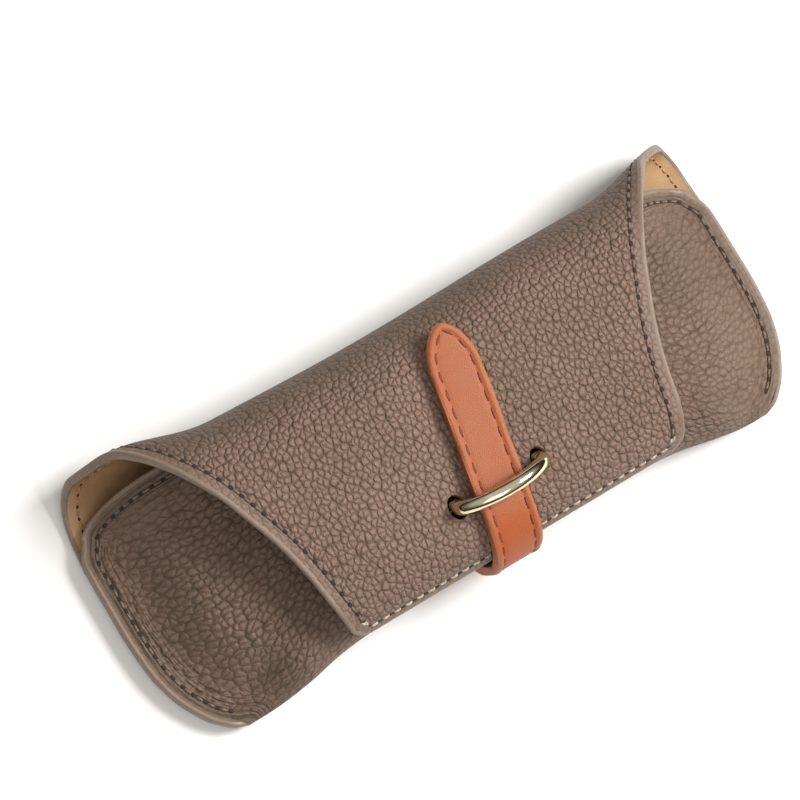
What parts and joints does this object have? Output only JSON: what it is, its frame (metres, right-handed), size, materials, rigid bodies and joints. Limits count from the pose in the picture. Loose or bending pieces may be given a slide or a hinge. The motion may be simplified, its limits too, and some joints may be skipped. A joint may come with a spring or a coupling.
{
  "type": "glasses case",
  "caption": "Fold-over leather glasses case: a stitched pocket, a rolled flap and a strap that passes under a metal ring.",
  "frame": {"origin": "on the flat back that the case rests on, under the middle of its length", "axes": "+X along the case, +Y across the back towards the rolled fold, +Z out through the flap and the ring"},
  "size_m": [0.175, 0.0644, 0.0387],
  "materials": {
    "grained_leather": "pebbled grain, satin, taupe",
    "lining_leather": "smooth natural tan, matt",
    "strap_leather": "smooth orange-brown, satin",
    "ring_metal": "polished pale gold plating"
  },
  "bodies": {
    "case": {"body_leather": "grained_leather", "body_lining": "lining_leather", "strap_root_face": "strap_leather", "strap_root_backing": "strap_leather"},
    "fold_lower": {"fold_leather_lower": "grained_leather", "fold_lining_lower": "lining_leather"},
    "fold_upper": {"fold_leather_upper": "grained_leather", "fold_lining_upper": "lining_leather"},
    "flap": {"flap_leather": "grained_leather", "flap_lining": "lining_leather", "ring_tab": "lining_leather"},
    "ring": {"ring": "ring_metal"},
    "strap": {"strap_face": "strap_leather", "strap_backing": "strap_leather"}
  },
  "joints": [
    {"name": "roll_bottom", "type": "hinge", "parent": "case", "child": "fold_lower", "pos_m": [0, 0.02823, 0.00475], "axis": [-1, 0, 0], "range_deg": [0, 50]},
    {"name": "roll_back", "type": "hinge", "parent": "fold_lower", "child": "fold_upper", "pos_m": [0, 0.0295, 0.01325], "axis": [-1, 0, 0], "range_deg": [0, 50]},
    {"name": "roll_top", "type": "hinge", "parent": "fold_upper", "child": "flap", "pos_m": [0, 0.02361, 0.02964], "axis": [-1, 0, 0], "range_deg": [0, 50]},
    {"name": "ring_swivel", "type": "hinge", "parent": "flap", "child": "ring", "pos_m": [0, -0.01552, 0.02619], "axis": [1, 0, 0], "range_deg": [-10, 10]},
    {"name": "strap_swing", "type": "hinge", "parent": "case", "child": "strap", "pos_m": [0, -0.03292, 0.00825], "axis": [1, 0, 0], "range_deg": [0, 100], "deforming": ["strap_face", "strap_backing"]}
  ],
  "couplings": [
    {"joint": "roll_back", "follows": "roll_bottom", "ratio": 1},
    {"joint": "roll_top", "follows": "roll_bottom", "ratio": 1}
  ]
}
